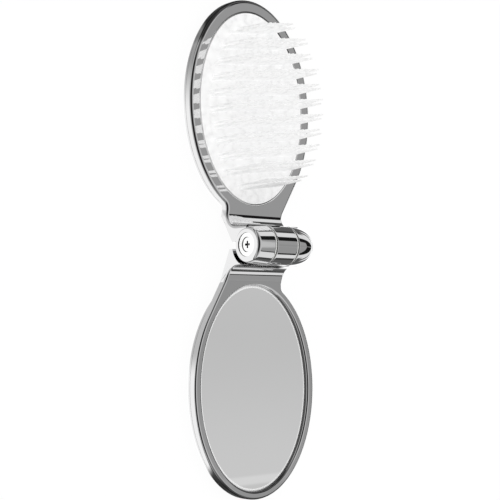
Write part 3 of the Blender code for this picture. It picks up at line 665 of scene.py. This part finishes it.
def mirror_glass(name):
    """The silvered glass, with a narrow ground bevel all round."""
    half_width = GLASS_HALF_WIDTH + FIT_GAP - VISIBLE_GAP
    half_length = GLASS_HALF_LENGTH + FIT_GAP - VISIBLE_GAP
    outline = ellipse(half_width, half_length, MIRROR_SIDE)
    bevelled = ellipse(half_width - GLASS_BEVEL_WIDTH, half_length - GLASS_BEVEL_WIDTH, MIRROR_SIDE)
    return stacked(name, [(outline, GLASS_LOW[2]), (outline, GLASS_HIGH[2] - GLASS_BEVEL_DROP),
                          (bevelled, GLASS_HIGH[2])])


def dome_height(across, along):
    """Height of the pad's surface at a place given in shares of its half width and half length."""
    return FACE + PAD_DOME * (1 - across ** 2 - along ** 2)


def in_pin_field(across, along):
    half_width = PAD_HALF_WIDTH - PIN_INSET_SIDE
    half_length = PAD_HALF_LENGTH - PIN_INSET_END
    return (across / half_width) ** 2 + ((along - PIN_FIELD_SHIFT) / half_length) ** 2 <= 1


def pin_places():
    """Pairs of slanted, staggered rows of pins that stay inside the pad's edge."""
    pairs = int(PAD_HALF_LENGTH / PIN_PAIR_PITCH) + 1
    columns = int(PAD_HALF_WIDTH / PIN_COLUMN_PITCH)
    places = []
    for pair in range(-pairs, pairs + 1):
        for row in range(2):
            start = PIN_ROW_START + pair * PIN_PAIR_PITCH + row * PIN_ROW_PITCH
            for column in range(-columns, columns + 1):
                across = (column + row / 2) * PIN_COLUMN_PITCH
                along = start + across * PIN_ROW_RISE_SHARE
                if in_pin_field(across, along):
                    places.append((across, along))
    return places


def pin_profile():
    """Radius and height up a pin, from its sunk foot to its rounded tip."""
    full = PIN_LENGTH + PIN_SUNK
    bulb = full - PIN_TIP_RADIUS
    points = [(PIN_ROOT_RADIUS, 0)]
    for i in range(PIN_TIP_STEPS):
        angle = math.pi / 2 * i / PIN_TIP_STEPS
        points.append((PIN_TIP_RADIUS * math.cos(angle), bulb + PIN_TIP_RADIUS * math.sin(angle)))
    return points + [(0, full)]


def add_pin(shape, profile, stance):
    """One closed pin, its levels joined side to side."""
    rings = []
    for radius, height in profile[:-1]:
        ring = []
        for i in range(PIN_SIDES):
            angle = 2 * math.pi * i / PIN_SIDES
            ring.append(shape.verts.new(stance @ Vector((radius * math.cos(angle),
                                                         radius * math.sin(angle), height))))
        rings.append(ring)
    tip = shape.verts.new(stance @ Vector((0, 0, profile[-1][1])))
    for lower, upper in zip(rings, rings[1:]):
        for i in range(PIN_SIDES):
            j = (i + 1) % PIN_SIDES
            shape.faces.new((lower[i], lower[j], upper[j], upper[i]))
    for i in range(PIN_SIDES):
        shape.faces.new((rings[-1][i], rings[-1][(i + 1) % PIN_SIDES], tip))
    shape.faces.new(list(reversed(rings[0])))


def pin_stance(across, along):
    """Stand a pin on the dome, its tip drawn in towards the middle of the pad."""
    root = dome_height(across / PAD_HALF_WIDTH, along / PAD_HALF_LENGTH) - PIN_SUNK
    lean = -PIN_TIP_DRAW_SHARE / PIN_LENGTH
    return Matrix(((1, 0, lean * across, across), (0, 1, lean * along, along),
                   (0, 0, 1, root), (0, 0, 0, 1)))


def pin_plate(name):
    """The domed white plate and its tapered round pins, moulded in one."""
    dome = [(i / DOME_STEPS, dome_height(i / DOME_STEPS, 0)) for i in range(DOME_STEPS + 1)]
    slab = turned(name, dome + [(1, PAD_LOW[2]), (0, PAD_LOW[2])], BARREL_STEPS, sideways=False)
    slab.data.transform(Matrix.Diagonal((PAD_HALF_WIDTH, PAD_HALF_LENGTH, 1, 1)))
    shape = bmesh.new()
    profile = pin_profile()
    for across, along in pin_places():
        add_pin(shape, profile, pin_stance(across, along))
    mesh = bpy.data.meshes.new("pins")
    shape.to_mesh(mesh)
    shape.free()
    slab = combined(slab, link(bpy.data.objects.new("pins", mesh)), "UNION")
    slab.data.transform(Matrix.Translation((0, BRUSH_SIDE * LEAF_CENTRE, 0)))
    return slab


# Materials and light


WHITE = (1, 1, 1, 1)
NOISE_DETAIL = 3


class Nodes:
    """A short way to write shader nodes."""

    def __init__(self, tree):
        self.tree = tree
        tree.nodes.clear()

    def add(self, kind, **settings):
        node = self.tree.nodes.new(kind)
        for key, value in settings.items():
            setattr(node, key, value)
        return node

    def put(self, socket, value):
        if isinstance(value, bpy.types.NodeSocket):
            self.tree.links.new(value, socket)
        else:
            socket.default_value = value

    def math(self, operation, *values):
        node = self.add("ShaderNodeMath", operation=operation)
        for socket, value in zip(node.inputs, values):
            self.put(socket, value)
        return node.outputs[0]

    def ramp(self, value, low, high, first, last, kind="SMOOTHSTEP"):
        """A smooth step of the value from first at low to last at high."""
        node = self.add("ShaderNodeMapRange", interpolation_type=kind, clamp=True)
        for name, number in (("Value", value), ("From Min", low), ("From Max", high),
                             ("To Min", first), ("To Max", last)):
            self.put(node.inputs[name], number)
        return node.outputs["Result"]

    def line(self, value, low, high, first, last):
        """A straight run of the value from first at low to last at high, held beyond both."""
        return self.ramp(value, low, high, first, last, "LINEAR")

    def mix(self, share, first, last):
        """A number between first and last."""
        node = self.add("ShaderNodeMix", data_type="FLOAT")
        self.put(node.inputs["Factor"], share)
        self.put(node.inputs["A"], first)
        self.put(node.inputs["B"], last)
        return node.outputs["Result"]

    def past(self, value, angle, start, width, new):
        """The value, changed to a new one while an angle grows by a width in degrees from a start."""
        share = self.ramp(angle, math.radians(start), math.radians(start + width), 0, 1)
        return self.mix(share, value, new)

    def tint(self, share, first, last):
        """A colour between first and last."""
        node = self.add("ShaderNodeMix", data_type="RGBA")
        self.put(node.inputs[0], share)
        colours = [socket for socket in node.inputs if socket.type == "RGBA"]
        self.put(colours[0], (*first, 1))
        self.put(colours[1], (*last, 1))
        return next(socket for socket in node.outputs if socket.type == "RGBA")

    def darkened(self, tone, share):
        """A colour scaled by a share."""
        node = self.add("ShaderNodeVectorMath", operation="SCALE")
        self.put(node.inputs[0], tone)
        self.put(node.inputs["Scale"], share)
        return node.outputs[0]

    def noise(self, scale, stretch):
        """Soft noise fixed to the object, in cells per metre, stretched along its axes."""
        place = self.add("ShaderNodeTexCoord").outputs["Object"]
        mapping = self.add("ShaderNodeMapping")
        self.put(mapping.inputs["Vector"], place)
        mapping.inputs["Scale"].default_value = stretch
        texture = self.add("ShaderNodeTexNoise")
        self.put(texture.inputs["Vector"], mapping.outputs[0])
        texture.inputs["Scale"].default_value = scale
        texture.inputs["Detail"].default_value = NOISE_DETAIL
        return texture.outputs["Fac"]


EVEN = (1, 1, 1)

# Each look: two tones, metallic, roughness range, noise cells per metre, stretch, bump in metres
LOOKS = {
    "chrome": ((0.492, 0.492, 0.496), (0.500, 0.500, 0.500), 1, (0.030, 0.045), 90, EVEN, 0),
    "mirror": ((0.955, 0.955, 0.955), (0.965, 0.968, 0.968), 1, (0.010, 0.020), 60, EVEN, 0),
    "edge": ((0.93, 0.93, 0.93), (0.97, 0.97, 0.97), 0, (0.35, 0.50), 3000, EVEN, 0),
    "pins": ((0.52, 0.52, 0.52), (0.98, 0.98, 0.98), 0, (0.35, 0.45), 450, EVEN, 0),
    "cushion": ((0.88, 0.88, 0.87), (0.93, 0.93, 0.92), 0, (0.60, 0.80), 900, EVEN, 0.00002),
    "foam": ((0.66, 0.66, 0.64), (0.82, 0.82, 0.80), 0, (0.85, 0.95), 4000, EVEN, 0.00006),
    "steel": ((0.55, 0.55, 0.56), (0.65, 0.65, 0.66), 1, (0.22, 0.34), 900, (1, 8, 8), 0.000004),
    "screw": ((0.60, 0.60, 0.60), (0.66, 0.66, 0.655), 1, (0.10, 0.18), 900, (1, 6, 6), 0),
    # painted shade: near-black metal for the inside of the screw's cross recess
    "recess": ((0.06, 0.06, 0.06), (0.12, 0.12, 0.12), 1, (0.30, 0.40), 900, EVEN, 0),
    "washer": ((0.84, 0.84, 0.82), (0.91, 0.91, 0.89), 0, (0.40, 0.55), 700, EVEN, 0.000005),
    "brass": ((0.68, 0.52, 0.25), (0.76, 0.61, 0.33), 1, (0.22, 0.36), 900, (8, 1, 1), 0.000004),
}


# Painted light: the pins, their pad and the glass's bevel glow though they are no lamps, in place of
# light that passes through the pale plastic or the glass and shines out of it again
PIN_GLOW = 0.22
# Painted light: the pad glows more among the pins' feet, lifting their shade
PAD_GLOW = 0.265                # among the pins' feet
PAD_GLOW_HEIGHTS = (0.0010, 0.0050)
# Painted light: the pins glow more in mirrored rays only
MIRRORED_PIN_GLOW = 0.8         # as the chrome beside them shows them
PIN_GLOSS = 0.2
EDGE_GLOW = 0.15

# Painted shade: how much of the chrome's brightness is left in its colour on the upright walls round
# each leaf
WALL_FLATNESS = (0.30, 0.55)    # upward part of the normal over which a wall turns into a face
# The normal's part along the leaf and the share left there, on the mirror leaf and on the brush leaf
GREY_WALLS = (((0.08, 0.25), 0.55), ((-0.10, 0.31), 0.33))
INNER_WALL = ((0.30, 0.60), 0.22)
LEAF_FROM = (0.012, 0.016)      # from the hinge
MIRROR_DARK_END = (0.071, 0.080)
BRUSH_DARK_END = (0.0665, 0.0700)
DARK_END_SHARE = 0.12
DARK_END_FLATNESS = (0.955, 0.985)


def painted_wall_shade(n):
    """Painted shade in the chrome's colour: upright walls darkened where they face along the leaf or
    inwards, and at the leaves' ends, in place of the darker parts of the room that they would mirror.
    """
    normal, place = n.add("ShaderNodeSeparateXYZ"), n.add("ShaderNodeSeparateXYZ")
    source = n.add("ShaderNodeTexCoord")
    n.put(normal.inputs[0], source.outputs["Normal"])
    n.put(place.inputs[0], source.outputs["Object"])
    upright = n.ramp(n.math("ABSOLUTE", normal.outputs[2]), *WALL_FLATNESS, 1, 0)
    greys = [n.ramp(normal.outputs[1], *limits, 1, share) for limits, share in GREY_WALLS]
    along = place.outputs[1]
    grey = n.mix(n.math("GREATER_THAN", along, LEAF_FROM[1]), *greys)
    outward = n.math("MULTIPLY", normal.outputs[0], n.math("SIGN", place.outputs[0]))
    inward = n.ramp(n.math("MULTIPLY", outward, -1), *INNER_WALL[0], 0, 1)
    on_leaf = n.ramp(n.math("ABSOLUTE", along), *LEAF_FROM, 0, 1)
    shade = n.mix(upright, 1, n.mix(n.math("MULTIPLY", inward, on_leaf), grey, INNER_WALL[1]))
    steep = n.ramp(n.math("ABSOLUTE", normal.outputs[2]), *DARK_END_FLATNESS, 1, 0)
    mirror_end = n.ramp(n.math("MULTIPLY", along, MIRROR_SIDE), *MIRROR_DARK_END, 0, 1)
    at_end = n.math("MAXIMUM", mirror_end, n.ramp(along, *BRUSH_DARK_END, 0, 1))
    return n.mix(n.math("MULTIPLY", steep, at_end), shade, DARK_END_SHARE)


def add_pin_glow(n, shader):
    """Painted light: let the pins glow by their height, and more where the chrome mirrors them."""
    mirrored = n.add("ShaderNodeLightPath").outputs["Is Glossy Ray"]
    split = n.add("ShaderNodeSeparateXYZ")
    n.put(split.inputs[0], n.add("ShaderNodeTexCoord").outputs["Object"])
    rise = n.math("SUBTRACT", split.outputs[2], FACE)
    glow = n.ramp(rise, *PAD_GLOW_HEIGHTS, PAD_GLOW, PIN_GLOW)
    n.put(shader.inputs["Emission Strength"], n.mix(mirrored, glow, MIRRORED_PIN_GLOW))
    shader.inputs["Emission Color"].default_value = WHITE
    shader.inputs["Specular IOR Level"].default_value = PIN_GLOSS


def surface(name):
    """A material whose tone, roughness and fine relief follow a noise fixed to the object."""
    first, last, metallic, rough, scale, stretch, relief = LOOKS[name]
    material = bpy.data.materials.new(name)
    material.use_nodes = True
    n = Nodes(material.node_tree)
    shader = n.add("ShaderNodeBsdfPrincipled")
    grain = n.noise(scale, stretch)
    tone = n.tint(grain, first, last)
    if name == "chrome":
        # Painted shade: the chrome's colour is darkened on its upright walls and at the leaves' ends
        tone = n.darkened(tone, painted_wall_shade(n))
    n.put(shader.inputs["Base Color"], tone)
    n.put(shader.inputs["Roughness"], n.mix(grain, *rough))
    shader.inputs["Metallic"].default_value = metallic
    if name == "pins":
        add_pin_glow(n, shader)
    # Painted light: the glass's bevel glows though it is no lamp
    if name == "edge":
        shader.inputs["Emission Color"].default_value = WHITE
        shader.inputs["Emission Strength"].default_value = EDGE_GLOW
    if relief:
        bump = n.add("ShaderNodeBump")
        bump.inputs["Distance"].default_value = relief
        n.put(bump.inputs["Height"], grain)
        n.put(shader.inputs["Normal"], bump.outputs[0])
    output = n.add("ShaderNodeOutputMaterial")
    n.put(output.inputs["Surface"], shader.outputs[0])
    return material


# The room that the chrome and the glass mirror, as linear brightness, with angles in degrees.
# Azimuth goes round from +X and height up from the floor. Rise goes from +X up and over to -X,
# and lean from straight up towards the mirror leaf's end.
SKY = 0.91                      # on what does not mirror
GREY_CARD = 0.528               # what the flat faces mirror
CARD_LIFT = (0, 9, 1.12)        # brightened with lean to both sides: start, width, times
CARD_BAND = (8.9, 0.2, 1.28)    # a paler band near the mirror leaf's end
CARD_END = (9.4, 0.2, 1.06)     # beyond the band
CARD_HALF_ANGLE = 41            # azimuth to each side
CARD_FOOT = 27.5                # height where the card narrows to a point
CARD_FULL = 30.5                # height from where it has its full width
CARD_TOP = 54                   # rise
STRIP = 1.0                     # above the card
STRIP_TOP = 84                  # rise
DARK_LINE = 0.016               # beside the card
DARK_TOWARDS_BRUSH = 25         # lean at which the card ends towards the brush leaf's end
BRIGHT_TOWARDS_BRUSH = 48       # lean from where it is bright there
BRIGHT_SIDE = 1.36              # beyond the dark line
BRIGHT_HALF_ANGLE = 44          # azimuth where it begins
BRIGHT_FOOT = 2                 # height where it begins straight ahead
BRIGHT_FULL = 27                # height where it begins at its own azimuth
BRIGHT_END = 71                 # azimuth
HORIZON = 0.08                  # below the bright sides
HORIZON_TOP = 8                 # height
HORIZON_START = 33              # azimuth
LOW_SIDE = 0.08                 # near the horizon beyond the bright sides
LOW_SIDE_TOP = 15               # height
HIGH_SIDE = 0.64                # above it
CEILING = 0.5                   # straight above
CEILING_END = 98                # rise
OVERHEAD = 0.024                # from there to behind the camera
OVERHEAD_SIDE = 0.4             # to both sides of it
OVERHEAD_HALF_ANGLE = 28        # to each side
OVERHEAD_END = 142              # rise
BEHIND = 1.04                   # behind the camera
MIRRORED_FLOOR = 1.80
SOFT = 2                        # widths of the soft edges between these
SOFTER = 10
SOFTEST = 25


def build_world():
    """White for the camera, even light on the object, and a studio round it for what it mirrors."""
    world = bpy.data.worlds.new("studio")
    bpy.context.scene.world = world
    world.use_nodes = True
    n = Nodes(world.node_tree)
    split = n.add("ShaderNodeSeparateXYZ")
    n.put(split.inputs[0], n.add("ShaderNodeTexCoord").outputs["Generated"])
    x, y, z = split.outputs
    azimuth = n.math("ABSOLUTE", n.math("ARCTAN2", y, x))
    rise = n.math("ARCTAN2", z, x)
    height = n.math("ARCSINE", z)
    aside = n.math("ARCSINE", n.math("ABSOLUTE", y))
    card_half = n.line(height, math.radians(CARD_FOOT), math.radians(CARD_FULL),
                       0, math.radians(CARD_HALF_ANGLE))
    bright_half = n.line(height, math.radians(BRIGHT_FOOT), math.radians(BRIGHT_FULL),
                         0, math.radians(BRIGHT_HALF_ANGLE))
    horizon = n.past(BRIGHT_SIDE, azimuth, HORIZON_START, SOFTER, HORIZON)
    bright = n.past(horizon, height, HORIZON_TOP, SOFT, BRIGHT_SIDE)
    lean = n.math("ARCTAN2", n.math("MULTIPLY", y, MIRROR_SIDE), z)
    value = GREY_CARD
    for angle, (start, width, times) in ((n.math("ABSOLUTE", lean), CARD_LIFT),
                                         (lean, CARD_BAND), (lean, CARD_END)):
        value = n.past(value, angle, start, width, GREY_CARD * times)
    value = n.past(value, n.math("SUBTRACT", azimuth, card_half), 0, SOFT, DARK_LINE)
    value = n.past(value, n.math("SUBTRACT", azimuth, bright_half), 0, SOFT, bright)
    towards_brush = n.math("MULTIPLY", lean, MIRROR_SIDE)
    value = n.past(value, towards_brush, DARK_TOWARDS_BRUSH, SOFT, DARK_LINE)
    value = n.past(value, towards_brush, BRIGHT_TOWARDS_BRUSH, SOFT, bright)
    beyond = n.past(LOW_SIDE, height, LOW_SIDE_TOP, SOFTER, HIGH_SIDE)
    value = n.past(value, azimuth, BRIGHT_END, SOFTER, beyond)
    value = n.past(value, rise, CARD_TOP, SOFT, STRIP)
    overhead = n.past(OVERHEAD, aside, OVERHEAD_HALF_ANGLE, SOFTEST, OVERHEAD_SIDE)
    value = n.past(value, rise, STRIP_TOP, SOFT, CEILING)
    value = n.past(value, rise, CEILING_END, SOFT, overhead)
    value = n.past(value, rise, OVERHEAD_END, SOFTEST, BEHIND)
    rays = n.add("ShaderNodeLightPath")
    seen = n.mix(rays.outputs["Is Glossy Ray"], SKY, value)
    seen = n.mix(rays.outputs["Is Camera Ray"], seen, 1.0)
    background = n.add("ShaderNodeBackground")
    background.inputs["Color"].default_value = WHITE
    n.put(background.inputs["Strength"], seen)
    output = n.add("ShaderNodeOutputWorld")
    n.put(output.inputs["Surface"], background.outputs[0])


FLOOR_HALF_SIZE = 1.5
FLOOR_TONE = 0.92
FLOOR_GLOW_SHARE = 0.92
FLOOR_GLOW = 1.02
SHADED_FLOOR = 0.12             # where the barrel's sides and the leaves' ends mirror the floor
SHADED_FLOOR_START = (0.005, 0.015)     # in X
SHADED_FLOOR_END = (0.060, 0.090)       # in X, between the two slanted parts
SHADED_FLOOR_SIDE = (0.012, 0.022)      # in Y, from the hinge
SHADED_FLOOR_SPREAD = 0.7       # in Y for each metre in X, where the slanted parts begin
SHADED_FLOOR_EDGE = (0, 0.010)
BEYOND_LEAVES = (0.074, 0.078)  # in Y, all dark from there


def add_floor():
    """A plain white floor that keeps a faint shadow, with painted reflection: mirrored rays see it
    glow brighter, with painted shade where the barrel's sides and the leaves' ends mirror it.
    """
    mesh = bpy.data.meshes.new("floor")
    corners = [(u * FLOOR_HALF_SIZE, v * FLOOR_HALF_SIZE, 0)
               for u, v in ((-1, -1), (1, -1), (1, 1), (-1, 1))]
    mesh.from_pydata(corners, [], [(0, 1, 2, 3)])
    floor = link(bpy.data.objects.new("floor", mesh))
    material = bpy.data.materials.new("floor")
    material.use_nodes = True
    n = Nodes(material.node_tree)
    paper = n.add("ShaderNodeBsdfDiffuse")
    paper.inputs["Color"].default_value = (FLOOR_TONE, FLOOR_TONE, FLOOR_TONE, 1)
    rays = n.add("ShaderNodeLightPath")
    mirrored = rays.outputs["Is Glossy Ray"]
    looked_at = n.math("MAXIMUM", rays.outputs["Is Camera Ray"], mirrored)
    looked_at = n.math("MAXIMUM", looked_at, rays.outputs["Is Transmission Ray"])
    glow = n.add("ShaderNodeEmission")
    split = n.add("ShaderNodeSeparateXYZ")
    n.put(split.inputs[0], n.add("ShaderNodeTexCoord").outputs["Object"])
    x = split.outputs[0]
    aside = n.math("ABSOLUTE", split.outputs[1])
    near = n.ramp(x, *SHADED_FLOOR_END, 1, 0)
    spread = n.math("SUBTRACT", aside, n.math("MULTIPLY", x, SHADED_FLOOR_SPREAD))
    shade = n.math("MAXIMUM", near, n.ramp(spread, *SHADED_FLOOR_EDGE, 0, 1))
    shade = n.math("MULTIPLY", shade, n.ramp(x, *SHADED_FLOOR_START, 0, 1))
    shade = n.math("MULTIPLY", shade, n.ramp(aside, *SHADED_FLOOR_SIDE, 0, 1))
    shade = n.math("MAXIMUM", shade, n.ramp(aside, *BEYOND_LEAVES, 0, 1))
    # Painted reflection: mirrored rays see the floor glow brighter, and darker in the painted shade
    # zones
    reflected = n.mix(shade, MIRRORED_FLOOR, SHADED_FLOOR)
    n.put(glow.inputs["Strength"], n.mix(mirrored, FLOOR_GLOW, reflected))
    both = n.add("ShaderNodeMixShader")
    n.put(both.inputs[0], n.math("MULTIPLY", looked_at, FLOOR_GLOW_SHARE))
    n.put(both.inputs[1], paper.outputs[0])
    n.put(both.inputs[2], glow.outputs[0])
    output = n.add("ShaderNodeOutputMaterial")
    n.put(output.inputs["Surface"], both.outputs[0])
    mesh.materials.append(material)


def dress_frame(materials):
    """Give every piece of the frame the material of its slot."""
    for subpart in frame["record"]["subparts"]:
        for slot in frame["nodes"][subpart["node"]].material_slots:
            slot.material = materials[subpart["material_slot"]]


def place_piece(piece, node, body, slot, *looks):
    """Give a refined piece its materials and its smooth shading, and let it stand for its node."""
    piece.data.materials.clear()
    for look in looks:
        piece.data.materials.append(look)
    piece.data.shade_smooth()
    piece.data.set_sharp_from_angle(angle=SHARP_ANGLE)
    even = piece.modifiers.new("even_shading", "WEIGHTED_NORMAL")
    even.keep_sharp = True
    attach(piece, body)
    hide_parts(node)


def place_pieces(materials):
    """Build the refined pieces and put them in the place of their nodes."""
    for piece, node, body in (
            (widened(brush_frame("brush_frame_fine")), "brush_frame", "brush_leaf"),
            (mirror_frame("mirror_frame_fine"), "mirror_frame", "mirror_leaf"),
            (widened(back_cover("brush_cover_fine", BRUSH_SIDE)), "brush_back_cover", "brush_leaf"),
            (back_cover("mirror_cover_fine", MIRROR_SIDE), "mirror_back_cover", "mirror_leaf")):
        place_piece(piece, node, body, "chrome", materials["chrome"])
    glass = mirror_glass("mirror_glass_fine")
    place_piece(glass, "mirror_glass", "mirror_leaf", "mirror", materials["mirror"], materials["edge"])
    for face in glass.data.polygons:
        slanted = SLANTED_FROM < face.normal.z < FLAT_FROM
        face.material_index = 1 if slanted else 0
    place_piece(widened(pin_plate("pin_plate_fine")), "pin_plate", "brush_leaf", "pins",
                materials["pins"])
    place_piece(end_bushing("end_bushing_fine"), "end_bushing", "brush_leaf", "chrome",
                materials["screw"])
    screw = hinge_screw("hinge_screw_fine")
    place_piece(screw, "hinge_screw", "brush_leaf", "screw", materials["screw"], materials["recess"])
    # Painted shade: the faces inside the cross recess get the near-black recess material
    for face in screw.data.polygons:
        across = (face.center - HINGE_AXIS).yz.length
        sunk = face.center.x - SCREW_LOW[0]
        in_shaded_recess = MERGE_DISTANCE < sunk <= RECESS_DEPTH and across <= RECESS_REACH
        face.material_index = 1 if in_shaded_recess else 0


bpy.context.scene.view_settings.view_transform = "Standard"
add_camera()
build_world()
add_floor()
surfaces = {name: surface(name) for name in LOOKS}
dress_frame(surfaces)
place_pieces(surfaces)
